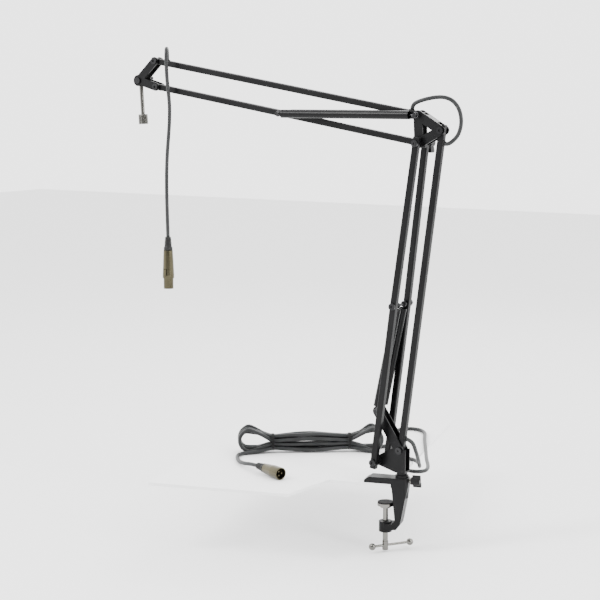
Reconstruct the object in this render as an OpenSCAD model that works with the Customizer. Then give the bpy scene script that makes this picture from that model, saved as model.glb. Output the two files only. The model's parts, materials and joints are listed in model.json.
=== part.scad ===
/* [Arm] */
// Pivot to pivot length of each of the two arm sections
arm_len = 480; // [300:10:600]
// Lean of the lower arm from upright, towards the right
lean = 7.4; // [-20:0.1:20]
// Rise of the upper arm above level, towards the head
rise = 9.7; // [-30:0.1:14]
// Outside width of the square arm tube
tube_w = 9.5; // [9:0.1:10]
// Wall of the square arm tube
tube_wall = 1; // [0.8:0.1:1.2]
// Half the spacing of the lower arm's two outer tubes at the base
pair_y = 21; // [20.6:0.1:24]
// Half the spacing of the same tubes at the elbow
pair_y_top = 14.5; // [14.3:0.1:16]

/* [Springs] */
// Outside diameter of the spring sleeves
sleeve_d = 12.6; // [12:0.1:13]
// Bore of the spring sleeves
sleeve_bore = 10.8; // [10.4:0.1:11]
// Half the spacing of the two lower springs
low_spring_y = 9.6; // [9.4:0.1:10]
// Half the spacing of the two upper springs
up_spring_y = 14.3; // [14.2:0.1:15]

/* [Clamp] */
// Length of the top jaw's clamping face
jaw_l = 42; // [36:1:60]
// Width of the clamp casting
jaw_w = 24; // [20:1:32]
// Clear height between the jaws
jaw_gap = 60; // [50:1:70]
// Turn of the clamp about the post, relative to the arm
clamp_turn = 14.5; // [-30:0.5:30]
// Height of the pressure pad's face below the top jaw
pad_drop = 30; // [10:1:50]
// Nominal diameter of the clamp screw
screw_d = 8; // [8:1:8]

/* [Microphone end] */
// Outside diameter of the microphone thread
stud_d = 15.88; // [15.88:0.01:15.88]
// Length of the microphone thread
stud_l = 16; // [14:1:18]
// Tilt of the microphone rod from plumb
rod_tilt = 3.4; // [-10:0.1:10]

/* [Cable] */
// Diameter of the microphone cable
cable_d = 6; // [5.6:0.1:6]
// Length of the tied bundle of cable
hank_l = 237; // [200:1:240]
// Width of the tied bundle of cable
hank_w = 38; // [36:1:46]

/* [Hidden] */
$fn = 48;

satin_black = [0.09, 0.09, 0.10];
gloss_black = [0.04, 0.04, 0.05];
bright_steel = [0.75, 0.75, 0.72];
cable_grey = [0.16, 0.17, 0.17];

// A point in the arm's plane is [x, z], with x from the post's axis
function up_by(a, r) = r * [sin(a), cos(a)];
function left_by(a, r) = r * [-cos(a), sin(a)];
link_ab = [34.4, 19];
link_ac = [-2, 40.5];
base_a = [-36, 32];
base_b = base_a + link_ab;
elbow_a = base_a + up_by(lean, arm_len);
elbow_b = elbow_a + link_ab;
elbow_c = elbow_a + link_ac;
head_low = elbow_a + left_by(rise, arm_len);
head_top = head_low + link_ac;
nose = head_low + [-35, 10];
anchor = base_a + [-3, 75];
mid_low = base_a + up_by(lean, arm_len / 2);
mid_up = elbow_a + left_by(rise, arm_len / 2);

// The post stands behind the jaw's centre, along the turned jaw
post_reach = 35;
post = post_reach * [cos(clamp_turn), sin(clamp_turn)];
post_r = 6;
socket_r = 10;
collar_top = 13;
jaw_t = 9;
screw_x = 10;
boss_top = -jaw_gap;
boss_h = 16;

bolt_r = 3;
stub_r = 2;
fit = 0.05;
plate_in = 5.75;
plate_t = 2;
plate_out = plate_in + plate_t;
tube_r = 1.5;
tube_bore = tube_w - 2 * tube_wall;
wire_r = 1.1;
ring_r = 3.5;
bend = atan((pair_y - pair_y_top) / (arm_len / 2));
tube_ext = 8;

module arm_plane() {
    translate([post[0], post[1], 0]) children();
}
module clamp_turned() {
    rotate([0, 0, clamp_turn]) children();
}
module at(p, y = 0) {
    translate([p[0], y, p[1]]) children();
}
// Turns +Z into the direction from p to q, standing at p
module toward(p, q, y = 0) {
    at(p, y) rotate([0, atan2(q[0] - p[0], q[1] - p[1]), 0]) children();
}
module across(p, y0, y1, r) {
    at(p, y0) rotate([-90, 0, 0]) cylinder(r = r, h = y1 - y0);
}
module rounded_square(w, r) {
    square([w - 2 * r, w], center = true);
    square([w, w - 2 * r], center = true);
    for (x = [-1, 1], y = [-1, 1]) {
        translate([x, y] * (w / 2 - r)) circle(r = r, $fn = 24);
    }
}
module tube_profile() {
    difference() {
        rounded_square(tube_w, tube_r);
        square(tube_bore, center = true);
    }
}
module ring(r_in, r_out, y0, y1, p) {
    difference() {
        across(p, y0, y1, r_out);
        across(p, y0 - 1, y1 + 1, r_in);
    }
}
// A through bolt with a round head in front and a hexagon nut behind
module bolt(p, y0, y1, r = bolt_r) {
    head_r = r + 2.2;
    difference() {
        union() {
            across(p, y0, y1, r);
            across(p, y0 - 2.6, y0, head_r);
        }
        at(p, y0 - 3) rotate([-90, 0, 0]) cylinder(r = 2, h = 1.8, $fn = 6);
    }
    difference() {
        at(p, y1 - 0.01) rotate([-90, 0, 0]) cylinder(r = head_r + 0.3, h = 4, $fn = 6);
        across(p, y1 + 3, y1 + 5, r);
    }
}
// A straight strip with round ends, in the arm's plane
module strip(p, q, r) {
    side = r - 0.04;
    d = norm(q - p);
    a = atan2(q[1] - p[1], q[0] - p[0]);
    translate(p) circle(r = r);
    translate(q) circle(r = r);
    translate(p) rotate(a) translate([0, -side]) square([d, 2 * side]);
}
// Stands a drawing in the arm's plane up, between two depths
module plate(y0, y1) {
    translate([0, y1, 0]) rotate([90, 0, 0]) linear_extrude(y1 - y0) children();
}
module both_plates() {
    plate(-plate_out, -plate_in) children();
    plate(plate_in, plate_out) children();
}
// The folded web that joins two plates, on the left of the line from p to q
module web(p, q, r, trim = 0) {
    d = norm(q - p);
    a = atan2(q[1] - p[1], q[0] - p[0]);
    plate(-plate_in - 0.5, plate_in + 0.5) translate(p) rotate(a) {
        translate([trim, r - plate_t]) square([d - 2 * trim, plate_t]);
    }
}

// ---- Clamp ----
clamp_inner = jaw_l / 2;
module clamp_profile() {
    polygon([[-jaw_l / 2, 0], [-jaw_l / 2, 4], [-jaw_l / 2 + 8, jaw_t],
        [clamp_inner + 3, jaw_t], [clamp_inner + 25, jaw_t], [clamp_inner + 25, -4],
        [clamp_inner + 14, boss_top - 2], [clamp_inner + 8, boss_top - 10],
        [screw_x, boss_top - 12], [screw_x, boss_top - 2], [clamp_inner + 1, boss_top - 2],
        [clamp_inner + 6, boss_top + 4], [clamp_inner + 1, -8], [clamp_inner - 2, 0]]);
}
module clamp_frame() color(satin_black) clamp_turned() difference() {
    union() {
        intersection() {
            translate([0, jaw_w / 2, 0]) rotate([90, 0, 0]) linear_extrude(jaw_w) {
                clamp_profile();
            }
            union() {
                translate([-50, -jaw_w, -100]) cube([50 + post_reach, 2 * jaw_w, 120]);
                translate([post_reach - 6, 0, -100]) cylinder(r = 18, h = 120);
            }
        }
        translate([post_reach, 0, -22]) cylinder(r = socket_r, h = 22 + collar_top);
        translate([screw_x, 0, boss_top - boss_h]) cylinder(r = socket_r, h = boss_h);
    }
    translate([post_reach, 0, -16]) cylinder(r = post_r + fit, h = 50);
    translate([screw_x, 0, boss_top - boss_h - 1]) cylinder(r = screw_d / 2 + fit, h = 30);
    translate([post_reach, 0, 4.5]) rotate([0, 90, 0]) cylinder(r = 3 + fit, h = 20);
}
pad_r = 12.5;
pad_t = 6;
rubber_t = 2;
screw_top = -pad_drop - 4;
screw_len = 57.5;
head_h = 13.5;
head_r = 4.6;
tommy_z = screw_top - screw_len - head_h / 2;
// The tommy bar stands across the screw's head and has slid to one side
tommy_l = 64;
tommy_slid = 10;
tommy_turn = -48.5;
ball_r = 5.4;
module pressure_pad() color(bright_steel) clamp_turned() difference() {
    translate([screw_x, 0, -pad_drop - pad_t]) union() {
        cylinder(r = pad_r, h = pad_t - rubber_t);
        translate([0, 0, -3]) cylinder(r = 8, h = 3.5);
    }
    translate([screw_x, 0, -pad_drop - pad_t - 4]) cylinder(r = screw_d / 2 + 0.05, h = 6);
}
module pad_rubber() color(gloss_black) clamp_turned() {
    translate([screw_x, 0, -pad_drop - rubber_t]) cylinder(r = pad_r - 0.5, h = rubber_t);
}
module clamp_screw() color(bright_steel) clamp_turned() difference() {
    translate([screw_x, 0, screw_top - screw_len]) union() {
        translate([0, 0, -head_h]) cylinder(r = head_r, h = head_h);
        translate([0, 0, -0.5]) cylinder(r = screw_d / 2, h = screw_len + 0.3 - 0.5);
    }
    translate([screw_x, 0, tommy_z]) rotate([0, 0, tommy_turn]) rotate([90, 0, 0]) {
        cylinder(r = 2 + fit, h = 30, center = true);
    }
}
module tommy_place() {
    clamp_turned() translate([screw_x, 0, tommy_z]) rotate([0, 0, tommy_turn]) {
        translate([0, tommy_slid, 0]) children();
    }
}
module tommy_bar() color(bright_steel) tommy_place() {
    rotate([90, 0, 0]) cylinder(r = 2, h = tommy_l - 4, center = true);
}
module tommy_balls() color(bright_steel) tommy_place() difference() {
    for (s = [-1, 1]) translate([0, s * tommy_l / 2, 0]) sphere(r = ball_r);
    rotate([90, 0, 0]) cylinder(r = 2, h = tommy_l - 4, center = true);
}
lock_z = 4.5;
lock_out = 25;
module lock_place() {
    clamp_turned() translate([post_reach, 0, lock_z]) rotate([0, 90, 0]) children();
}
module lock_screw() color(bright_steel) lock_place() {
    translate([0, 0, post_r + 0.3]) cylinder(r = 3, h = lock_out - post_r);
    translate([0, 0, 13.4]) cylinder(r = 5.5, h = 1.2);
}
// A knob with two wings round a boss, its axis along +Z
module wing_knob(boss, wing, h, bore, deep) {
    difference() {
        union() {
            cylinder(r = boss, h = h);
            translate([0, 0, 2]) for (a = [0, 180]) rotate(a) {
                translate([boss - 2, -2.5, 0]) cube([wing - boss - 0.5, 5, h - 1]);
                translate([wing - 2.5, 0, 0]) cylinder(r = 2.5, h = h - 1);
            }
        }
        translate([0, 0, -1]) cylinder(r = bore, h = deep + 1);
    }
}
module lock_knob() color(gloss_black) lock_place() {
    translate([0, 0, 15]) rotate(20) wing_knob(6, 10.5, 13, 3 + fit, 11);
}

// ---- Base ----
post_low = -12;
foot_z = 17;
module swivel_post() color(satin_black) arm_plane() {
    translate([0, 0, post_low]) cylinder(r = post_r, h = foot_z - post_low);
    translate([0, 0, collar_top + 0.3]) cylinder(r = 8, h = foot_z - collar_top - 0.3);
}
lobe_r = 7.5;
module base_outline() {
    strip(base_a, base_b, lobe_r);
    strip(base_b, anchor, lobe_r);
    polygon([base_a + [0, 1 - lobe_r], [-8, foot_z], [9, foot_z], [9, base_b[1] + 2],
        base_b, base_a]);
}
module base_bracket() color(satin_black) arm_plane() difference() {
    union() {
        both_plates() base_outline();
        plate(-plate_out, plate_out) translate([-8, foot_z]) square([17, 3]);
        web(base_a + [0, 0], [-8, foot_z + lobe_r], lobe_r - 15 + plate_t, 2);
        web(base_b, anchor, lobe_r, 12);
    }
    for (p = [base_a, base_b]) across(p, -10, 10, bolt_r + fit);
    across(anchor, -10, 10, stub_r + fit);
}
module base_pivot_bolt() color(bright_steel) arm_plane() {
    bolt(base_a, -pair_y - tube_w / 2 - 0.3, pair_y + tube_w / 2 + 0.3);
}
module base_spacers() color(satin_black) arm_plane() for (s = [-1, 1]) {
    y0 = s < 0 ? -pair_y + tube_w / 2 + 0.2 : plate_out;
    ring(bolt_r + fit, 5.5, y0, y0 + pair_y - tube_w / 2 - plate_out - 0.2, base_a);
}
module base_rod_bolt() color(bright_steel) arm_plane() {
    bolt(base_b, -plate_out, plate_out);
    for (s = [-1, 1]) {
        ring(bolt_r, 5, s * 5.3 - 0.4, s * 5.3 + 0.4, base_b);
    }
}
module spring_anchor_pin() color(bright_steel) arm_plane() {
    y = low_spring_y + 3.5;
    across(anchor, -y, y, stub_r);
    for (s = [-1, 1]) across(anchor, s * y - 0.5, s * y + 0.5, stub_r + 1.2);
}

// ---- Lower arm ----
// Each outer tube bends inwards at its middle, where a block inside carries the cross bolt
module pair_tube(side) color(satin_black) arm_plane() difference() {
    toward(mid_low, elbow_a, side * pair_y) {
        half = arm_len / 2 + tube_ext;
        crack = 0.01;
        difference() {
            translate([0, 0, -half]) linear_extrude(half + 4) tube_profile();
            rotate([side * bend / 2, 0, 0]) translate([-20, -20, -crack]) cube([40, 40, 20]);
        }
        difference() {
            rotate([side * bend, 0, 0]) translate([0, 0, -4]) {
                linear_extrude(half + 4) tube_profile();
            }
            rotate([side * bend / 2, 0, 0]) translate([-20, -20, crack - 20]) cube([40, 40, 20]);
        }
        rotate([side * bend / 2, 0, 0]) translate([0, 0, -7]) {
            linear_extrude(14) square(tube_bore + 0.7, center = true);
        }
    }
    for (p = [base_a, mid_low, elbow_a]) across(p, -40, 40, bolt_r + fit);
}
module lower_tube_front() pair_tube(-1);
module lower_tube_rear() pair_tube(1);
// A push-in plug for the end of a tube, its cap at z = 0 and its stem downwards
module end_plug() {
    linear_extrude(1.4) rounded_square(tube_w, tube_r);
    translate([0, 0, -4]) linear_extrude(4.2) square(tube_bore - 0.1, center = true);
}
module lower_tube_plugs() color(gloss_black) arm_plane() for (s = [-1, 1]) {
    toward(base_a, elbow_a, s * pair_y) translate([0, 0, -tube_ext]) rotate([180, 0, 0]) {
        end_plug();
    }
    toward(mid_low, elbow_a, s * pair_y) rotate([s * bend, 0, 0]) {
        translate([0, 0, arm_len / 2 + tube_ext]) end_plug();
    }
}
// A cross bolt whose thin waist carries two spring eyes
module waist_bolt(p, y_nut, waist_to) {
    difference() {
        bolt(p, -y_nut, y_nut);
        ring(stub_r, 6, -waist_to, waist_to, p);
    }
}
module lower_cross_bolt() color(bright_steel) arm_plane() {
    y = pair_y + tube_w / 2 + 0.2;
    waist_bolt(mid_low, y, low_spring_y + 2);
}
// The cable leaves the single lower tube through slots in its right-hand face
rod_slot = 18;
cable_r = cable_d / 2;
slot_r = cable_r + 0.7;
module lower_rod_tube() color(satin_black) arm_plane() difference() {
    toward(base_b, elbow_b) translate([0, 0, -tube_ext]) {
        linear_extrude(arm_len + 2 * tube_ext) tube_profile();
    }
    for (p = [base_b, elbow_b]) across(p, -10, 10, bolt_r + fit);
    toward(base_b, elbow_b) for (z = [rod_slot, arm_len - rod_slot]) {
        translate([0, 0, z]) rotate([0, 90, 0]) cylinder(r = slot_r, h = 10);
    }
}
// A rubber ring in the wall of a tube, round the cable
module grommet() {
    difference() {
        union() {
            cylinder(r = slot_r, h = 1.4);
            translate([0, 0, 1]) cylinder(r = slot_r + 0.9, h = 1);
        }
        translate([0, 0, -1]) cylinder(r = cable_r + 0.35, h = 4);
    }
}
module lower_rod_grommets() color(gloss_black) arm_plane() toward(base_b, elbow_b) {
    for (z = [rod_slot, arm_len - rod_slot]) {
        translate([tube_w / 2 - 1, 0, z]) rotate([0, 90, 0]) grommet();
    }
}

// ---- Springs ----
low_span = norm(mid_low - anchor);
up_span = norm(mid_up - elbow_c);
// A hooked wire eye round a pin, with a straight shank along +Z
module wire_eye(shank) {
    rotate([90, 0, 0]) rotate_extrude() translate([ring_r, 0]) circle(r = wire_r, $fn = 24);
    translate([0, 0, ring_r]) cylinder(r = wire_r, h = shank - ring_r, $fn = 24);
}
module tube_ring(r_in, r_out, z0, z1) {
    translate([0, 0, z0]) difference() {
        cylinder(r = r_out, h = z1 - z0);
        translate([0, 0, -1]) cylinder(r = r_in, h = z1 - z0 + 2);
    }
}
low_gap = 9;
low_gap_top = 6.2;
up_gap = 10;
up_gap_far = 7;
coil_r = 4.6;
module lower_sleeves() color(gloss_black) arm_plane() for (s = [-1, 1]) {
    toward(anchor, mid_low, s * low_spring_y) {
        tube_ring(sleeve_bore / 2, sleeve_d / 2, low_gap, low_span - low_gap_top);
    }
}
module lower_spring_hooks() color(bright_steel) arm_plane() for (s = [-1, 1]) {
    toward(anchor, mid_low, s * low_spring_y) {
        wire_eye(low_gap + 6);
        tube_ring(coil_r - 1.6, coil_r, low_gap + 5, low_span - 34);
        translate([0, 0, low_gap + 4.5]) cylinder(r = coil_r, h = 1.6);
    }
}
module lower_spring_eyes() color(bright_steel) arm_plane() for (s = [-1, 1]) {
    toward(mid_low, anchor, s * low_spring_y) wire_eye(24);
}
module upper_sleeves() color(gloss_black) arm_plane() for (s = [-1, 1]) {
    toward(elbow_c, mid_up, s * up_spring_y) {
        tube_ring(sleeve_bore / 2, sleeve_d / 2, up_gap, up_span - up_gap_far);
    }
}
module upper_spring_hooks() color(bright_steel) arm_plane() for (s = [-1, 1]) {
    toward(elbow_c, mid_up, s * up_spring_y) {
        wire_eye(up_gap + 6);
        tube_ring(coil_r - 1.6, coil_r, up_gap + 5, up_span - 70);
        translate([0, 0, up_gap + 4.5]) cylinder(r = coil_r, h = 1.6);
    }
}
// The far end of each upper spring, which draws out of its sleeve as the arm goes down
far_coil_r = 2.3;
module upper_spring_eyes() color(bright_steel) arm_plane() for (s = [-1, 1]) {
    toward(mid_up, elbow_c, s * up_spring_y) {
        wire_eye(up_gap_far + 3);
        translate([0, 0, up_gap_far + 1.4]) cylinder(r = far_coil_r, h = 44);
    }
}

// ---- Elbow ----
elbow_lobe = 7;
module elbow_bracket() color(satin_black) arm_plane() difference() {
    union() {
        both_plates() {
            strip(elbow_a, elbow_c, elbow_lobe);
            strip(elbow_c, elbow_b, elbow_lobe);
            strip(elbow_b, elbow_a, elbow_lobe);
        }
        web(elbow_b, elbow_c, -elbow_lobe + plate_t, 11);
    }
    for (p = [elbow_a, elbow_b, elbow_c]) across(p, -10, 10, bolt_r + fit);
}
knob_y = pair_y_top + tube_w / 2 + 1.6;
module elbow_axle() color(bright_steel) arm_plane() {
    y0 = -pair_y_top - tube_w / 2 - 0.4;
    difference() {
        across(elbow_a, y0 - 3, knob_y + 9, bolt_r);
        at(elbow_a, y0 - 3.5) rotate([-90, 0, 0]) cylinder(r = 1.5, h = 1.8, $fn = 6);
    }
    ring(bolt_r, 5.2, y0 - 2.6, y0, elbow_a);
    ring(bolt_r, 6, knob_y - 1.2, knob_y - 0.2, elbow_a);
}
module elbow_washers() color(bright_steel) arm_plane() for (s = [-1, 1]) {
    gap = 0.8;
    mid = (tube_w / 2 + plate_in) / 2;
    ring(bolt_r + fit, 6, s * mid - gap / 2, s * mid + gap / 2, elbow_a);
    ring(bolt_r + fit, 6, s * mid - gap / 2, s * mid + gap / 2, elbow_b);
    ring(bolt_r + fit, 6, s * mid - gap / 2, s * mid + gap / 2, elbow_c);
    outer = (pair_y_top - tube_w / 2 + plate_out) / 2;
    ring(bolt_r + fit, 6, s * outer - 0.8, s * outer + 0.8, elbow_a);
}
module elbow_rod_bolt() color(bright_steel) arm_plane() {
    bolt(elbow_b, -plate_out, plate_out);
}
// The bolt through the elbow's top pivot runs on past the plates and holds the spring hooks
module elbow_top_bolt() color(bright_steel) arm_plane() {
    end = up_spring_y + 3.5;
    across(elbow_c, -plate_out - 0.5, plate_out + 0.5, bolt_r);
    across(elbow_c, -end, end, stub_r);
    for (s = [-1, 1]) across(elbow_c, s * end - 0.6, s * end + 0.6, stub_r + 1.4);
}
module elbow_knob() color(gloss_black) arm_plane() {
    at(elbow_a, knob_y) rotate([-90, 0, 0]) rotate(78) wing_knob(7, 15, 12, bolt_r + fit, 10);
}

// ---- Upper arm ----
module bar_solid(p, q) {
    toward(p, q) translate([0, 0, -tube_ext]) {
        linear_extrude(arm_len + 2 * tube_ext) tube_profile();
    }
}
module upper_bar() color(satin_black) arm_plane() difference() {
    bar_solid(elbow_a, head_low);
    for (p = [elbow_a, mid_up, head_low]) across(p, -10, 10, bolt_r + fit);
}
module upper_bar_plugs() color(gloss_black) arm_plane() {
    toward(elbow_a, head_low) translate([0, 0, arm_len + tube_ext]) end_plug();
    toward(elbow_a, head_low) translate([0, 0, -tube_ext]) rotate([180, 0, 0]) end_plug();
}
module upper_cross_bolt() color(bright_steel) arm_plane() {
    end = up_spring_y + 3.5;
    across(mid_up, -tube_w / 2 - 0.4, tube_w / 2 + 0.4, bolt_r);
    across(mid_up, -end, end, stub_r);
    for (s = [-1, 1]) across(mid_up, s * end - 0.6, s * end + 0.6, stub_r + 1.4);
}
head_slot = 20;
elbow_slot = 14;
module upper_rod_tube() color(satin_black) arm_plane() difference() {
    bar_solid(elbow_c, head_top);
    for (p = [elbow_c, head_top]) across(p, -10, 10, bolt_r + fit);
    toward(elbow_c, head_top) for (z = [elbow_slot, arm_len - head_slot]) {
        translate([0, 0, z]) rotate([0, 90, 0]) cylinder(r = slot_r, h = 10);
    }
}
module upper_rod_grommets() color(gloss_black) arm_plane() toward(elbow_c, head_top) {
    for (z = [elbow_slot, arm_len - head_slot]) {
        translate([tube_w / 2 - 1, 0, z]) rotate([0, 90, 0]) grommet();
    }
}

// ---- Head ----
nose_r = 9;
head_lobe = 6.5;
module head_bracket() color(satin_black) arm_plane() difference() {
    union() {
        both_plates() {
            strip(head_low, nose, head_lobe);
            strip(nose, head_top, head_lobe);
            translate(nose) circle(r = nose_r);
        }
        web(nose, head_top, head_lobe, 14);
    }
    for (p = [head_low, head_top, nose]) across(p, -10, 10, bolt_r + fit);
}
module head_bolts() color(bright_steel) arm_plane() {
    bolt(head_low, -plate_out, plate_out);
    bolt(head_top, -plate_out, plate_out);
    for (s = [-1, 1], p = [head_low, head_top]) {
        ring(bolt_r, 5, s * 5.3 - 0.4, s * 5.3 + 0.4, p);
    }
}
module tilt_bolt() color(bright_steel) arm_plane() {
    across(nose, -plate_out - 2.6, plate_out + 8, bolt_r);
    ring(bolt_r, 5.2, -plate_out - 2.6, -plate_out, nose);
    ring(bolt_r, 6, plate_out, plate_out + 0.8, nose);
}
module head_knob() color(gloss_black) arm_plane() {
    at(nose, plate_out + 1.1) rotate([-90, 0, 0]) rotate(-30) {
        wing_knob(6, 10.5, 11, bolt_r + fit, 9);
    }
}
rod_l = 54;
rod_r = 3.25;
module hanging() {
    arm_plane() at(nose) rotate([0, -rod_tilt, 0]) children();
}
module mic_rod() color(bright_steel) hanging() difference() {
    union() {
        rotate([90, 0, 0]) cylinder(r = 7, h = 2 * plate_in - 0.6, center = true);
        translate([0, 0, -rod_l]) cylinder(r = rod_r, h = rod_l);
    }
    rotate([90, 0, 0]) cylinder(r = bolt_r + fit, h = 20, center = true);
}
module threaded_stud() color(bright_steel) hanging() {
    translate([0, 0, -rod_l - stud_l]) cylinder(r = stud_d / 2, h = stud_l);
}

// ---- Cable ----
function unit(v) = v / norm(v);
function tangent(p, i) = unit(p[min(i + 1, len(p) - 1)] - p[max(i - 1, 0)]);
function side_of(t) = unit(cross(t, abs(t[2]) < 0.8 ? [0, 0, 1] : [1, 0, 0]));
// Carries the first ring's direction along, so that the tube doesn't twist
function turned(u, t) = unit(u - (u * t) * t);
function frames(p) = [for (i = 0, u = side_of(tangent(p, 0)); i < len(p);
    i = i + 1, u = i < len(p) ? turned(u, tangent(p, i)) : u) u];
cable_sides = 8;
module swept(p) {
    m = len(p);
    n = cable_sides;
    side = frames(p);
    rings = [for (i = [0:m - 1]) let (t = tangent(p, i), u = side[i], w = cross(t, u))
        for (k = [0:n - 1]) p[i] + cable_r * (cos(360 * k / n) * u + sin(360 * k / n) * w)];
    walls = [for (i = [0:m - 2], k = [0:n - 1])
        [i * n + k, i * n + (k + 1) % n, (i + 1) * n + (k + 1) % n, (i + 1) * n + k]];
    ends = [[for (k = [n - 1:-1:0]) k], [for (k = [0:n - 1]) (m - 1) * n + k]];
    polyhedron(points = rings, faces = concat(walls, ends), convexity = 10);
}
// Routes are in the arm's frame; the first two start from the joints they belong to
head_route = [for (p = [[20.6, 0, 1.5], [21.6, 0, 7], [21.4, -2, 12.5], [20.3, -5.5, 15.8],
    [19.2, -10, 15.2], [19.2, -13.2, 10.5], [20.6, -14, 2], [23, -14, -10], [26.2, -13.6, -24],
    [29.6, -13, -40], [32, -12.5, -56], [33, -12, -72], [31.5, -11, -94], [28.5, -10, -118],
    [25, -9, -145], [22.5, -8, -175], [21.3, -7, -210], [21.5, -6.5, -245],
    [22, -6, -280]]) p + [head_top[0], 0, head_top[1]]];
elbow_route = [for (p = [[-12.9, 0, 7.6], [-12.1, 0, 12], [-8.5, 0.5, 16], [0, 2, 18.5],
    [11, 4, 21.5], [23, 7, 24.5], [35, 9, 25], [46, 11, 20.5], [54.5, 12, 11],
    [59, 12, -1], [60, 11, -14], [57.5, 8, -27], [51.5, 4, -36], [45, 0.5, -40.7],
    [38.9, 0, -40]]) p + [elbow_c[0], 0, elbow_c[1]]];
base_route = [[5.5, 0, 68.2], [10.5, 0.6, 67.4], [15.2, 5, 61.5], [16, 12, 50], [13, 24, 38],
    [7, 40, 26], [-2, 60, 14.5], [-14, 84, 6], [-28, 108, 3.3], [-44, 124, 3.3],
    [-62, 128, 3.3], [-78, 118, 3.3], [-82, 100, 3.3], [-73, 84, 3.3], [-56, 71, 3.3],
    [-38, 64, 3.3], [-20, 60, 3.3], [-6, 62, 3.3], [1, 73, 3.3], [-3, 90, 3.3],
    [-13, 110, 3.3], [-26, 132, 3.3], [-40, 157, 3.3], [-55, 185, 3.3], [-72, 216, 3.3],
    [-89, 247, 3.3], [-104, 276, 3.3], [-117, 301, 3.3], [-133, 317, 3.3],
    [-152, 319, 3.3], [-165, 305, 3.3], [-166, 284, 3.3], [-159, 262, 3.3],
    [-150, 241, 3.3], [-141, 220, 3.3], [-132.6, 202, 3.3], [-128.5, 192.5, 3.3],
    [-129, 183.5, 3.3], [-132.8, 175.2, 3.3], [-139, 169, 3.3]];
tail_route = [[-290.8, 27.5, 3.3], [-298.1, 18.7, 3.3], [-300.1, 7.5, 3.3],
    [-296.2, -3.2, 3.3], [-286, -17.5, 3.3], [-272, -32, 3.8], [-256, -43.5, 5.8],
    [-239, -51.5, 8.4], [-221, -58, 9.8]];
module head_cable() color(cable_grey) arm_plane() swept(head_route);
module elbow_cable() color(cable_grey) arm_plane() swept(elbow_route);
module base_cable() color(cable_grey) arm_plane() swept(base_route);
module tail_cable() color(cable_grey) arm_plane() swept(tail_route);
module upper_inner_cable() color(cable_grey) arm_plane() toward(elbow_c, head_top) {
    translate([0, 0, elbow_slot - 2]) {
        cylinder(r = cable_r - 0.2, h = arm_len - head_slot - elbow_slot + 4);
    }
}
module lower_inner_cable() color(cable_grey) arm_plane() toward(base_b, elbow_b) {
    translate([0, 0, rod_slot - 2]) {
        cylinder(r = cable_r - 0.2, h = arm_len - 2 * rod_slot + 4);
    }
}
hank_at = [-219.7, 96];
hank_turn = 34.8;
hank_z = 1.5;
hank_h = 40;
hank_tie_w = 5;
module hank_place() {
    arm_plane() translate([hank_at[0], hank_at[1], 0]) rotate([0, 0, hank_turn]) children();
}
module cable_hank() color(cable_grey) hank_place() translate([0, 0, hank_z]) {
    linear_extrude(hank_h) {
        square([hank_l - hank_w, hank_w], center = true);
        for (s = [-1, 1]) translate([s * (hank_l - hank_w) / 2, 0]) circle(r = hank_w / 2);
    }
}
module hank_ties() color(gloss_black) hank_place() for (x = [-61.5, 63.5]) {
    translate([x - hank_tie_w / 2, 0, hank_z + hank_h / 2]) rotate([90, 0, 90]) {
        linear_extrude(hank_tie_w) difference() {
            square([hank_w + 2.6, hank_h + 2.6], center = true);
            square([hank_w, hank_h], center = true);
        }
    }
}

// ---- Connectors ----
// The hanging cable ends in a socket; +Z runs from the cable to the mouth
module socket_place() {
    arm_plane() translate(head_route[len(head_route) - 1]) rotate([180, 0, 0]) children();
}
module plug_place() {
    arm_plane() translate(tail_route[len(tail_route) - 1]) rotate([0, 90, -22.3]) children();
}
boot_l = 22;
module boot() {
    difference() {
        cylinder(r1 = 5.2, r2 = 7.2, h = boot_l);
        translate([0, 0, 4]) cylinder(r = cable_r + 0.1, h = boot_l);
    }
}
module socket_boot() color(gloss_black) socket_place() boot();
module socket_shell() color(bright_steel) socket_place() difference() {
    rotate_extrude() polygon([[4, boot_l], [7.6, boot_l], [8, boot_l + 8], [9.4, 62],
        [9.4, 67], [8, 67], [8, 84], [7, 84], [7, 66], [4, 64]]);
    translate([-2.7, 7, 52]) cube([5.4, 5, 11]);
}
module socket_insert() color(gloss_black) socket_place() difference() {
    translate([0, 0, 66.2]) cylinder(r = 6.9, h = 17);
    for (a = [0, 120, 240]) rotate(a) translate([0, 3.4, 70]) cylinder(r = 1.3, h = 20);
}
module socket_latch() color(bright_steel) socket_place() {
    translate([-2.4, 8.2, 52.3]) cube([4.8, 2.2, 10.4]);
}
module plug_boot() color(gloss_black) plug_place() boot();
module plug_shell() color(bright_steel) plug_place() rotate_extrude() {
    polygon([[4, boot_l], [7.6, boot_l], [8, boot_l + 6], [9.5, 44], [9.5, 62], [8.1, 62],
        [8.1, 46], [4, 46]]);
}
module plug_pins() color(bright_steel) plug_place() {
    translate([0, 0, 46.1]) cylinder(r = 7.9, h = 1.4);
    for (a = [0, 120, 240]) rotate(a) translate([0, 3.4, 47]) cylinder(r = 1.2, h = 12.5);
}

clamp_frame();
pressure_pad();
pad_rubber();
clamp_screw();
tommy_bar();
tommy_balls();
lock_knob();
lock_screw();
swivel_post();
base_bracket();
base_pivot_bolt();
base_spacers();
base_rod_bolt();
spring_anchor_pin();
lower_tube_front();
lower_tube_rear();
lower_cross_bolt();
lower_tube_plugs();
lower_rod_tube();
lower_rod_grommets();
lower_sleeves();
lower_spring_hooks();
lower_spring_eyes();
elbow_bracket();
elbow_axle();
elbow_washers();
elbow_rod_bolt();
elbow_top_bolt();
elbow_knob();
upper_bar();
upper_cross_bolt();
upper_bar_plugs();
upper_rod_tube();
upper_rod_grommets();
upper_sleeves();
upper_spring_hooks();
upper_spring_eyes();
head_bracket();
head_bolts();
tilt_bolt();
head_knob();
mic_rod();
threaded_stud();
head_cable();
elbow_cable();
base_cable();
cable_hank();
hank_ties();
tail_cable();
socket_shell();
socket_boot();
socket_insert();
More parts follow.
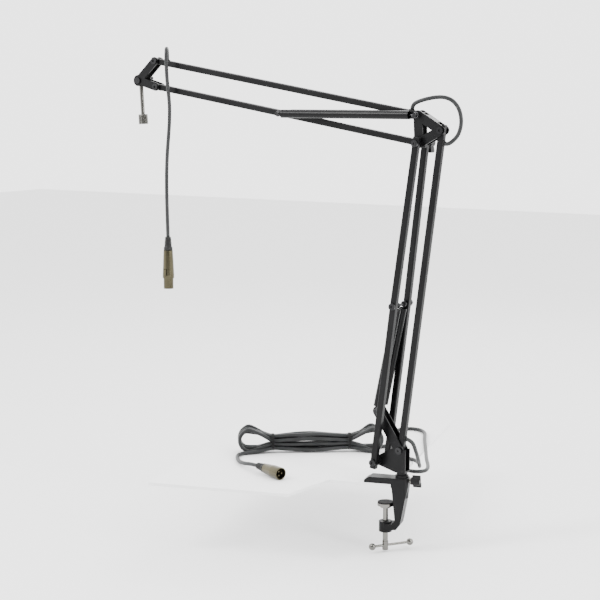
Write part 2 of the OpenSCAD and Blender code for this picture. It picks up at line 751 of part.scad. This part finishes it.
socket_latch();
plug_shell();
plug_boot();
plug_pins();
upper_inner_cable();
lower_inner_cable();
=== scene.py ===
import json
import math
import bpy
from mathutils import Matrix, Vector


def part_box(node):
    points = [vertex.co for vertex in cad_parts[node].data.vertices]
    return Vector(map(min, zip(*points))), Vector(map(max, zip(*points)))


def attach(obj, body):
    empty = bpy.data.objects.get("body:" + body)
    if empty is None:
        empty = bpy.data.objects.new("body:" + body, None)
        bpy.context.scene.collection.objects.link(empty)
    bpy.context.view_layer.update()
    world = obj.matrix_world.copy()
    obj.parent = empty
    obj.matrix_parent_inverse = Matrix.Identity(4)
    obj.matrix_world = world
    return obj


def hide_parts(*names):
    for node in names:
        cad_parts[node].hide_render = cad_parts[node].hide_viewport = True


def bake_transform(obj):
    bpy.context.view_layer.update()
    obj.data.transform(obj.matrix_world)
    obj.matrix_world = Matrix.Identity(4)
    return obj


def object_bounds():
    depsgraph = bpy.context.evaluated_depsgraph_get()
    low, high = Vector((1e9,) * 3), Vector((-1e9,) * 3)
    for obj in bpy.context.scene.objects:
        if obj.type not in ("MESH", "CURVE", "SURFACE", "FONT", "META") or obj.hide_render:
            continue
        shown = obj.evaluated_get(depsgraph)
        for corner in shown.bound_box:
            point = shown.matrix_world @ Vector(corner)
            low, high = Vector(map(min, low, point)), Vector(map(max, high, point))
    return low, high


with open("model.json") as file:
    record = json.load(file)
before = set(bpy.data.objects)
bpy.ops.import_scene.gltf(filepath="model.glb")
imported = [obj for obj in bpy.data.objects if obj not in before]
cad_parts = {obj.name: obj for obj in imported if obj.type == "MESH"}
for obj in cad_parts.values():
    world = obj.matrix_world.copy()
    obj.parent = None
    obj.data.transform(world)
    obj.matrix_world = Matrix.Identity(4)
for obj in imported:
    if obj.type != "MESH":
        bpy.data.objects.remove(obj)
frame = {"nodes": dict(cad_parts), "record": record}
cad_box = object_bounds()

# Places. The arm stands in the post's plane
joint = {j["name"]: Vector(j["pos_m"]) for j in frame["record"]["behaviour"]["joints"] if "pos_m" in j}
POST = Vector((joint["base_swivel"].x, joint["base_swivel"].y, 0))
ELBOW_C = joint["upper_rod_lift"]
HEAD_TOP = joint["head_level"]

# ---- Camera ----
camera_data = bpy.data.cameras.new("camera")
camera_data.lens = 90.6
camera_data.sensor_width = 36
camera = bpy.data.objects.new("camera", camera_data)
bpy.context.scene.collection.objects.link(camera)
camera.location = (1.0706, -1.9433, 0.5873)
aim = Vector((-0.1463, 0.00876, 0.26398)) - camera.location
camera.rotation_euler = aim.to_track_quat("-Z", "Y").to_euler()
bpy.context.scene.camera = camera


# ---- Mesh helpers ----
def add(name, vertices, faces, smooth=True):
    """A mesh object in the scene; smooth shades its four-sided faces."""
    mesh = bpy.data.meshes.new(name)
    mesh.from_pydata([tuple(v) for v in vertices], [], faces)
    mesh.validate()
    obj = bpy.data.objects.new(name, mesh)
    bpy.context.scene.collection.objects.link(obj)
    if smooth:
        for p in mesh.polygons:
            p.use_smooth = len(p.vertices) == 4
    return obj


def spline(points, n):
    """A smooth curve through the points, n steps to each gap."""
    points = [Vector(p) for p in points]
    out = []
    for i in range(len(points) - 1):
        a, b = points[max(i - 1, 0)], points[i]
        c, d = points[i + 1], points[min(i + 2, len(points) - 1)]
        for k in range(n):
            t = k / n
            square = 2 * a - 5 * b + 4 * c - d
            cube = 3 * b - a - 3 * c + d
            out.append(0.5 * (2 * b + (c - a) * t + square * t * t + cube * t**3))
    return out + [points[-1]]


def even(points, step):
    """The same line with its points a step apart."""
    total = sum((b - a).length for a, b in zip(points, points[1:]))
    count = max(2, round(total / step))
    out, i, gone = [points[0]], 0, 0.0
    for k in range(1, count):
        want = total * k / count
        while gone + (points[i + 1] - points[i]).length < want:
            gone += (points[i + 1] - points[i]).length
            i += 1
        seg = points[i + 1] - points[i]
        out.append(points[i] + seg * ((want - gone) / seg.length))
    return out + [points[-1]]


def skin(rows, sides):
    """Faces over rows of vertices, with a cap on both ends."""
    faces = []
    for i in range(rows - 1):
        for k in range(sides):
            j = (k + 1) % sides
            faces.append((i * sides + k, i * sides + j, (i + 1) * sides + j, (i + 1) * sides + k))
    faces.append(tuple(reversed(range(sides))))
    faces.append(tuple(range((rows - 1) * sides, rows * sides)))
    return faces


def tube(name, points, radius, sides=14):
    """A round tube along the points, whose rings don't twist."""
    vertices = []
    u = None
    for i, p in enumerate(points):
        t = (points[min(i + 1, len(points) - 1)] - points[max(i - 1, 0)]).normalized()
        if u is None:
            u = t.orthogonal().normalized()
        u = (u - t * u.dot(t)).normalized()
        w = t.cross(u)
        for k in range(sides):
            a = 2 * math.pi * k / sides
            vertices.append(p + radius * (math.cos(a) * u + math.sin(a) * w))
    return add(name, vertices, skin(len(points), sides))


def lathe(name, profile, place, sides=40):
    """Turns (radius, height) pairs round the place's own Z."""
    vertices = []
    for r, z in profile:
        for k in range(sides):
            a = 2 * math.pi * k / sides
            vertices.append(place @ Vector((r * math.cos(a), r * math.sin(a), z)))
    return add(name, vertices, skin(len(profile), sides))


def threaded(name, place, r, depth, pitch, z0, z1, sides=32):
    """A threaded rod: its radius follows the helix, and runs out to plain at both ends."""
    vertices = []
    rows = int((z1 - z0) / pitch * 8)
    for i in range(rows + 1):
        z = z0 + (z1 - z0) * i / rows
        fade = min(1, (z - z0) / pitch, (z1 - z) / pitch)
        for k in range(sides):
            a = 2 * math.pi * k / sides
            wave = abs(((z / pitch - k / sides) % 1) * 2 - 1)
            rr = r - depth * (1 - wave) * fade - depth * (1 - fade)
            vertices.append(place @ Vector((rr * math.cos(a), rr * math.sin(a), z)))
    return add(name, vertices, skin(rows + 1, sides))


def placed(at, z_to):
    """A place at a point whose Z runs along z_to."""
    z = Vector(z_to).normalized()
    x = z.orthogonal().normalized()
    y = z.cross(x)
    return Matrix((
        (x.x, y.x, z.x, at[0]), (x.y, y.y, z.y, at[1]), (x.z, y.z, z.z, at[2]), (0, 0, 0, 1)))


# ---- Cables ----
CABLE = 0.006


def routed(points, step, origin):
    """A smooth line through a route given in millimetres from an origin."""
    return even(spline([origin + Vector(p) / 1000 for p in points], 8), step)


def arm(p):
    """A point given in millimetres from the post's axis."""
    return POST + Vector(p) / 1000


# Routes in millimetres: from the head's top pivot, the elbow's top pivot and the post
head_route = [
    (20.6, 0, 1.5), (20.6, 0, 5), (20.9, -0.5, 9.5), (22.4, -2.9, 15.2), (25.2, -7.3, 18.9),
    (28.8, -13.0, 19), (31.6, -17.4, 15.4), (33, -19.6, 9.6), (33.3, -20.2, 2), (33.2, -19.8, -10),
    (33.2, -18.6, -26), (33.4, -16.8, -42), (33.9, -15, -58), (34, -13.8, -74), (32, -12, -96),
    (28.5, -10, -118), (25, -9, -145), (22.5, -8, -175), (21.3, -7, -210), (21.5, -6.5, -245),
    (22, -6, -280),
]
elbow_route = [
    (-12.9, 0, 7.6), (-12.1, 0, 12), (-8.8, 0.5, 16.5), (-0.5, 2, 20.3), (11, 4, 23.4), (23, 7, 25.4),
    (35, 9, 25), (46, 11, 20.5), (54.5, 12, 11), (59, 12, -1), (60, 11, -14), (57.5, 8, -27),
    (51.5, 4, -36), (45, 0.5, -40.7), (38.9, 0, -40),
]
base_route = [
    (5.5, 0, 68.2), (10.5, 0.6, 67.4), (15.2, 5, 61.5), (16, 12, 50), (13, 24, 38), (7, 40, 26),
    (-2, 60, 14.5), (-14, 84, 6), (-28, 108, 3.3), (-44, 124, 3.3), (-62, 128, 3.3), (-78, 118, 3.3),
    (-82, 100, 3.3), (-73, 84, 3.3), (-56, 71, 3.3), (-38, 64, 3.3), (-20, 60, 3.3), (-6, 62, 3.3),
    (1, 73, 3.3), (-3, 90, 3.3), (-13, 110, 3.3), (-26, 132, 3.3), (-40, 157, 3.3), (-55, 185, 3.3),
    (-72, 216, 3.3), (-89, 247, 3.3), (-104, 276, 3.3), (-117, 301, 3.3), (-133, 317, 3.3),
    (-152, 319, 3.3), (-165, 305, 3.3), (-166, 284, 3.3), (-159, 262, 3.3), (-150, 241, 3.3),
    (-141, 220, 3.3), (-132.6, 202, 3.3), (-128.5, 192.5, 3.3), (-129, 183.5, 3.3), (-132.8, 175.2, 3.3),
    (-139, 169, 3.3),
]
tail_route = [
    (-290.8, 27.5, 3.3), (-298.1, 18.7, 3.3), (-300.1, 7.5, 3.3), (-296.2, -3.2, 3.3), (-286, -17.5, 3.3),
    (-272, -32, 3.8), (-256, -43.5, 5.8), (-239, -51.5, 8.4), (-221, -58, 9.8),
]

# The bundle: standing loops side by side, gathered by two ties. Its own axes, in millimetres,
# are u along it, v across it and z up
HANK_AT = Vector((-219.7, 96, 0))
HANK_TURN = math.radians(34.8)
TIES = (-61.5, 63.5)


def hank(u, v, z):
    """A point of the bundle, in millimetres from the post."""
    c, s = math.cos(HANK_TURN), math.sin(HANK_TURN)
    return (HANK_AT.x + u * c - v * s, HANK_AT.y + u * s + v * c, z)


# Radius and place across of each end loop, and where each run passes through the ties (v, z)
loop_r = [18.4, 14.0, 16.8, 13.2, 17.6, 18.4]
loop_v = [15.75 - 6.3 * k for k in range(6)]
low_slot = [(9.3, 6.3), (6.2, 0.2), (3.1, 6.5), (-0.1, 0.2), (-3.2, 6.4), (-6.3, 0.2)]
up_slot = [(9.4, 12.6), (6.2, 18.6), (3.1, 12.8), (0.0, 18.8), (-3.1, 12.7)]
LYING = 3.3  # centre of a cable that lies on the desk
TIE_LIFT = 4.2  # the ties hold their cluster off the desk
CLUSTER_MID = 9.5  # middle height of the slots
LOOP_MID = 18.4  # middle height of the end loops
END = 115.5  # half the bundle's length
BOWS = (1.0, 1.16, 1.3, 1.34, 1.24, 1.08, 1.0)  # how far the runs spread between the ties


def run(i, upper, leftward):
    """One run of the bundle, between its end loops."""
    slot_v, slot_z = (up_slot if upper else low_slot)[i]
    out = []
    for k, bow in enumerate(BOWS):
        u = TIES[0] + (TIES[1] - TIES[0]) * k / (len(BOWS) - 1)
        wave = 3.0 * math.sin(1.9 * i + 0.045 * u) * (bow - 1)
        v = slot_v * (0.96 + 0.3 * (bow - 1)) + wave
        z = LYING + TIE_LIFT + CLUSTER_MID + (slot_z - CLUSTER_MID) * bow + 0.6 * wave
        out.append((u, v, z))
    z_tie = LYING + TIE_LIFT + slot_z
    z_loop = LYING + LOOP_MID + (loop_r[i] if upper else -loop_r[i])
    v_between = 0.5 * (slot_v + loop_v[i])
    z_between = 0.45 * z_tie + 0.55 * z_loop
    out = [(-80, v_between, z_between)] + out + [(84, v_between, z_between)]
    return out[::-1] if leftward else out


def end_loop(i, j, sign):
    """The loop at one end of the bundle, from run i to run j."""
    out = []
    angles = (-95, -125, -152, 180, 152, 125, 95) if sign < 0 else (85, 55, 28, 0, -28, -55, -85)
    for k, angle in enumerate(angles):
        t = k / (len(angles) - 1)
        r = loop_r[i] + (loop_r[j] - loop_r[i]) * t
        v = loop_v[i] + (loop_v[j] - loop_v[i]) * t
        c, s = math.cos(math.radians(angle)), math.sin(math.radians(angle))
        out.append((sign * (END - r) + r * c, v, LYING + LOOP_MID + r * s))
    return out


hank_points = []
for i in range(6):
    hank_points += run(i, False, True)
    if i < 5:
        hank_points += end_loop(i, i, -1) + run(i, True, False) + end_loop(i, i + 1, 1)
# The first run comes in along the desk
hank_points[0:1] = [(104, 15.0, 3.6), (92, 14.6, 4.4)]

whole = base_route[:-1] + [hank(*p) for p in hank_points] + tail_route
line = routed(whole, 0.0035, POST)
long_cable = tube("desk_cable", line, CABLE / 2, 12)
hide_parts("base_cable", "cable_hank", "tail_cable")
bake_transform(long_cable)

hang = routed(head_route, 0.0025, HEAD_TOP)
head_cable = tube("hanging_cable", hang, CABLE / 2)
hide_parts("head_cable")
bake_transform(head_cable)

# The bow at the elbow is cut in two halves, an upper and a lower one
bow_line = routed(elbow_route, 0.0025, ELBOW_C)
middle = len(bow_line) * 6 // 11
upper_half = bow_line[: middle + 1]
lower_half = bow_line[middle:]
halves = []
for name, part, body, a, b in (
    ("elbow_cable_upper", upper_half, "upper_rod", 0, len(bow_line) // 3),
    ("elbow_cable_lower", lower_half, "lower_rod", -1, 2 * len(bow_line) // 3 + 4),
):
    piece = tube(name, part, CABLE / 2)
    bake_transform(piece)
    halves.append(piece)
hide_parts("elbow_cable")


# ---- Materials ----
def material(name, base, rough, metallic=0.0, sheen=0.0, specular=0.5):
    """A plain material, which grain() then gives its detail."""
    m = bpy.data.materials.new(name)
    m.use_nodes = True
    s = m.node_tree.nodes["Principled BSDF"]
    s.inputs["Base Color"].default_value = (*base, 1)
    s.inputs["Roughness"].default_value = rough
    s.inputs["Metallic"].default_value = metallic
    s.inputs["Sheen Weight"].default_value = sheen
    s.inputs["Specular IOR Level"].default_value = specular
    return m


def node(m, kind, **values):
    """A new shader node, with values for its sockets or its own settings."""
    n = m.node_tree.nodes.new(kind)
    for k, v in values.items():
        if k in n.inputs:
            n.inputs[k].default_value = v
        else:
            setattr(n, k, v)
    return n


def grain(m, scale, detail, low, high, spread=0.06, height=0.00004, bevel=0.0, stretch=(1, 1, 1)):
    """Fine surface grain: it mottles the colour and the roughness and gives a bump."""
    t = m.node_tree
    s = t.nodes["Principled BSDF"]
    where = node(m, "ShaderNodeTexCoord")
    mapping = node(m, "ShaderNodeMapping")
    mapping.inputs["Scale"].default_value = stretch
    t.links.new(where.outputs["Object"], mapping.inputs["Vector"])
    noise = node(m, "ShaderNodeTexNoise", Scale=scale, Detail=detail)
    t.links.new(mapping.outputs["Vector"], noise.inputs["Vector"])
    broad = node(m, "ShaderNodeTexNoise", Scale=scale / 40, Detail=2.0)
    t.links.new(mapping.outputs["Vector"], broad.inputs["Vector"])
    ramp = node(m, "ShaderNodeValToRGB")
    ramp.color_ramp.elements[0].position = 0.35
    ramp.color_ramp.elements[1].position = 0.65
    ramp.color_ramp.elements[0].color = (*low, 1)
    ramp.color_ramp.elements[1].color = (*high, 1)
    t.links.new(broad.outputs["Fac"], ramp.inputs["Fac"])
    t.links.new(ramp.outputs["Color"], s.inputs["Base Color"])
    rough = s.inputs["Roughness"].default_value
    spreader = node(m, "ShaderNodeMapRange")
    spreader.inputs["To Min"].default_value = max(0.02, rough - spread)
    spreader.inputs["To Max"].default_value = rough + spread
    t.links.new(noise.outputs["Fac"], spreader.inputs["Value"])
    t.links.new(spreader.outputs["Result"], s.inputs["Roughness"])
    bump = node(m, "ShaderNodeBump", Strength=0.6, Distance=height)
    t.links.new(noise.outputs["Fac"], bump.inputs["Height"])
    if bevel:
        soft = node(m, "ShaderNodeBevel", Radius=bevel, samples=4)
        t.links.new(soft.outputs["Normal"], bump.inputs["Normal"])
    t.links.new(bump.outputs["Normal"], s.inputs["Normal"])
    return m


coat_black = grain(
    material("satin_powder_coat", (0.004, 0.004, 0.0045), 0.32, specular=0.14),
    900, 3.0, (0.0025, 0.0025, 0.0028), (0.0050, 0.0050, 0.0055), 0.04, 0.00001)
cast_black = grain(
    material("cast_enamel", (0.004, 0.004, 0.0045), 0.38, specular=0.14),
    500, 4.0, (0.0028, 0.0028, 0.0030), (0.0060, 0.0060, 0.0065), 0.06, 0.00005, 0.0012)
sleeve_black = grain(
    material("sleeve_gloss", (0.003, 0.003, 0.0034), 0.27, specular=0.12),
    300, 2.0, (0.0030, 0.0030, 0.0033), (0.0055, 0.0055, 0.0060), 0.03, 0.000004, 0.0, (1, 1, 0.2))
oxide = grain(
    material("blackened_steel", (0.03, 0.03, 0.032), 0.34, metallic=0.9),
    700, 3.0, (0.016, 0.016, 0.017), (0.032, 0.032, 0.033), 0.05, 0.00001)
wire = grain(
    material("spring_wire", (0.06, 0.06, 0.063), 0.28, metallic=1.0),
    1200, 3.0, (0.035, 0.035, 0.037), (0.07, 0.07, 0.073), 0.05, 0.00001)
chrome = grain(
    material("chrome_plate", (0.17, 0.168, 0.155), 0.15, metallic=1.0),
    400, 3.0, (0.13, 0.128, 0.118), (0.20, 0.197, 0.183), 0.03, 0.000004)
nickel = grain(
    material("nickel_plate", (0.085, 0.076, 0.047), 0.2, metallic=1.0),
    500, 3.0, (0.066, 0.059, 0.036), (0.104, 0.093, 0.059), 0.04, 0.00001, 0.0005)
plastic = grain(
    material("moulded_plastic", (0.005, 0.005, 0.0055), 0.42, specular=0.18),
    1500, 2.0, (0.0035, 0.0035, 0.0038), (0.0070, 0.0070, 0.0075), 0.05, 0.00002, 0.0009)
boot_rubber = grain(
    material("boot_rubber", (0.012, 0.012, 0.012), 0.48, specular=0.2),
    900, 3.0, (0.009, 0.009, 0.009), (0.016, 0.016, 0.0155), 0.05, 0.00002)
jacket = grain(
    material("cable_jacket", (0.022, 0.023, 0.0235), 0.4, specular=0.22),
    1600, 2.0, (0.018, 0.019, 0.0195), (0.027, 0.028, 0.0285), 0.04, 0.00001)
pad_black = grain(
    material("pad_rubber", (0.009, 0.009, 0.009), 0.62, specular=0.18),
    800, 3.0, (0.006, 0.006, 0.006), (0.012, 0.012, 0.012), 0.06, 0.00003, 0.0005)
strap = grain(
    material("strap_weave", (0.006, 0.006, 0.006), 0.8, sheen=0.05, specular=0.15),
    2200, 2.0, (0.004, 0.004, 0.004), (0.009, 0.009, 0.009), 0.06, 0.00005, 0.0, (1, 1, 3))

finish = {
    cast_black: ("clamp_frame", "swivel_post"),
    coat_black: (
        "base_bracket", "base_spacers", "lower_tube_front", "lower_tube_rear", "lower_rod_tube",
        "elbow_bracket", "upper_bar", "upper_rod_tube", "head_bracket"),
    sleeve_black: ("lower_sleeves", "upper_sleeves"),
    oxide: (
        "base_pivot_bolt", "base_rod_bolt", "spring_anchor_pin", "lower_cross_bolt", "elbow_axle",
        "elbow_washers", "elbow_rod_bolt", "elbow_top_bolt", "upper_cross_bolt", "head_bolts", "tilt_bolt"),
    wire: ("lower_spring_hooks", "lower_spring_eyes", "upper_spring_hooks", "upper_spring_eyes"),
    chrome: (
        "pressure_pad", "clamp_screw", "tommy_bar", "tommy_balls", "lock_screw", "mic_rod", "threaded_stud"),
    nickel: ("socket_shell", "socket_latch", "plug_shell", "plug_pins"),
    plastic: (
        "lock_knob", "elbow_knob", "head_knob", "lower_tube_plugs", "upper_bar_plugs", "socket_insert"),
    boot_rubber: ("socket_boot", "plug_boot", "lower_rod_grommets", "upper_rod_grommets"),
    jacket: ("upper_inner_cable", "lower_inner_cable", "head_cable", "elbow_cable", "base_cable",
             "cable_hank", "tail_cable"),
    pad_black: ("pad_rubber",),
    strap: ("hank_ties",),
}
for m, names in finish.items():
    for name in names:
        data = frame["nodes"][name].data
        data.materials.clear()
        data.materials.append(m)
for piece in (long_cable, head_cable, *halves):
    piece.data.materials.append(jacket)


def finished(obj, m, body, slot_name, *nodes):
    """Gives a piece its material and body, and hides the CAD nodes it stands for. The slot_name argument is
    not used.
    """
    obj.data.materials.append(m)
    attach(obj, body)
    if nodes:
        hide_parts(*nodes)
    return obj


# ---- Ties round the bundle ----
TIE_V, TIE_Z = 1.5, 16.9  # the middle of a tie
TIE_HALF_V, TIE_HALF_Z = 11.6, 12.9
TIE_HALF_WIDE = 2.0
TIE_THICK = 0.9
TIE_SIDES = 36


def rounded(x):
    """Squares a circle's cosine or sine off a little."""
    return math.copysign(abs(x) ** 0.8, x)


for n, u in enumerate(TIES):
    ring, faces = [], []
    for k in range(TIE_SIDES):
        a = 2 * math.pi * k / TIE_SIDES
        dv = TIE_HALF_V * rounded(math.cos(a))
        dz = TIE_HALF_Z * rounded(math.sin(a))
        proud = 1 + TIE_THICK / math.hypot(dv, dz)
        for du, grow in (
            (-TIE_HALF_WIDE, 1), (-TIE_HALF_WIDE, proud), (TIE_HALF_WIDE, proud), (TIE_HALF_WIDE, 1),
        ):
            ring.append(arm(hank(u + du, TIE_V + dv * grow, TIE_Z + dz * grow)))
    for k in range(TIE_SIDES):
        here, there = 4 * k, 4 * ((k + 1) % TIE_SIDES)
        for j in range(4):
            i = (j + 1) % 4
            faces.append((here + j, here + i, there + i, there + j))
    tie = add(f"bundle_tie_{n + 1}", ring, faces, smooth=False)
    bevel = tie.modifiers.new("bevel", "BEVEL")
    bevel.width = 0.0002
    finished(tie, strap, "base", "strap_fabric")
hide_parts("hank_ties")

# ---- Threads ----
ROD_LONG = 0.054
ROD_TILT = math.radians(3.4)
down = Vector((math.sin(ROD_TILT), 0, -math.cos(ROD_TILT)))
stud_place = placed(joint["mic_tilt"] + down * ROD_LONG, down)
stud = threaded("microphone_thread", stud_place, 0.00794, 0.0006, 0.000941, 0.0011, 0.016, 40)
finished(stud, chrome, "mic_mount", "bright_chrome", "threaded_stud")
collar = lathe(
    "thread_shoulder",
    [(0.0032, 0), (0.0071, 0), (0.0076, 0.0004), (0.0076, 0.0011), (0.0032, 0.0012)], stud_place)
finished(collar, chrome, "mic_mount", "bright_chrome")

low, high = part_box("clamp_screw")
SCREW_HEAD = 0.0140
screw_at = joint["screw_turn"]
screw_place = placed(Vector((screw_at.x, screw_at.y, low.z)), (0, 0, 1))
screw = threaded("screw_thread", screw_place, 0.004, 0.00055, 0.00125, SCREW_HEAD, high.z - low.z, 28)
finished(screw, chrome, "screw", "bright_chrome")

# ---- Strain reliefs with ribs ----
def boot(name, start, along, body, *nodes):
    """A ribbed sleeve that widens from the cable to its connector."""
    place = placed(start, along)
    profile = [(0.0031, 0), (0.0043, 0.0002), (0.0048, 0.0010)]
    for k in range(6):
        z = 0.0014 + 0.0023 * k
        r = 0.0049 + 0.00022 * k
        profile += [(r, z), (r + 0.0002, z + 0.0003), (r + 0.0002, z + 0.0013)]
        profile += [(r - 0.0005, z + 0.0016), (r - 0.0005, z + 0.0021)]
    profile += [(0.0064, 0.0160), (0.0070, 0.0168), (0.0072, 0.0219), (0.0040, 0.0220)]
    return finished(lathe(name, profile, place, 36), boot_rubber, body, "black_rubber", *nodes)


PLUG_TURN = math.radians(-22.3)
plug_dir = (math.cos(PLUG_TURN), math.sin(PLUG_TURN), 0)
socket_boot = boot("socket_strain_relief", hang[-1], (0, 0, -1), "head", "socket_boot")
plug_boot = boot("plug_strain_relief", line[-1], plug_dir, "base", "plug_boot")


# ---- Surroundings ----
def stage_piece(name, vertices, faces):
    """A piece of the surroundings, in the pale ground's material."""
    obj = add(name, vertices, faces, smooth=False)
    obj.data.materials.append(pale)


pale = material("pale_ground", (0.93, 0.93, 0.93), 0.85)
floor_z = cad_box[0][2] - 0.003
corners = [(-6, -6), (6, -6), (6, 6), (-6, 6)]
stage_piece("floor", [(x, y, floor_z) for x, y in corners], [(0, 1, 2, 3)])

# The desk that the clamp holds, as a thin sheet turned with the jaw
JAW_TURN = math.radians(14.5)


def jaw(x, y, z):
    """A point in the jaw's own axes."""
    c, s = math.cos(JAW_TURN), math.sin(JAW_TURN)
    return (x * c - y * s, x * s + y * c, z)


outline = [
    (0.0205, -0.013), (-0.075, -0.013), (-0.11, -0.11), (-0.33, -0.11), (-0.33, 0.42), (0.0205, 0.42)]
count = len(outline)
top = [jaw(x, y, -0.0001) for x, y in outline]
bottom = [jaw(x, y, -0.0045) for x, y in outline]
faces = [tuple(reversed(range(count))), tuple(range(count, 2 * count))]
for k in range(count):
    j = (k + 1) % count
    faces.append((k, j, j + count, k + count))
stage_piece("desk_edge", top + bottom, faces)

# The room is white, with one darker wall, which gives the metal its contrast
world = bpy.data.worlds.new("studio")
bpy.context.scene.world = world
world.use_nodes = True
sky = world.node_tree
room = sky.nodes["Background"]
room.inputs["Color"].default_value = (1, 1, 1, 1)
heading = sky.nodes.new("ShaderNodeTexCoord")
toward_wall = sky.nodes.new("ShaderNodeVectorMath")
toward_wall.operation = "DOT_PRODUCT"
toward_wall.inputs[1].default_value = (0.50, -0.84, 0.20)
fall = sky.nodes.new("ShaderNodeMapRange")
fall.interpolation_type = "SMOOTHSTEP"
fall.inputs["From Min"].default_value = 0.15
fall.inputs["From Max"].default_value = 0.95
fall.inputs["To Min"].default_value = 3.2
fall.inputs["To Max"].default_value = 0.7
sky.links.new(heading.outputs["Generated"], toward_wall.inputs[0])
sky.links.new(toward_wall.outputs["Value"], fall.inputs["Value"])
sky.links.new(fall.outputs["Result"], room.inputs["Strength"])


def light(name, place, size, power):
    """A rectangular light that faces the arm's middle."""
    data = bpy.data.lights.new(name, "AREA")
    data.shape = "RECTANGLE"
    data.size, data.size_y = size
    data.energy = power
    obj = bpy.data.objects.new(name, data)
    bpy.context.scene.collection.objects.link(obj)
    obj.location = place
    obj.rotation_euler = (LIT - Vector(place)).to_track_quat("-Z", "Y").to_euler()


LIT = Vector((-0.1, 0, 0.3))
light("key", (-1.2, -1.6, 1.9), (0.5, 1.4), 60)
light("side", (1.9, -0.4, 1.1), (0.4, 1.6), 34)
light("back", (-0.4, 1.9, 1.6), (1.6, 0.8), 20)
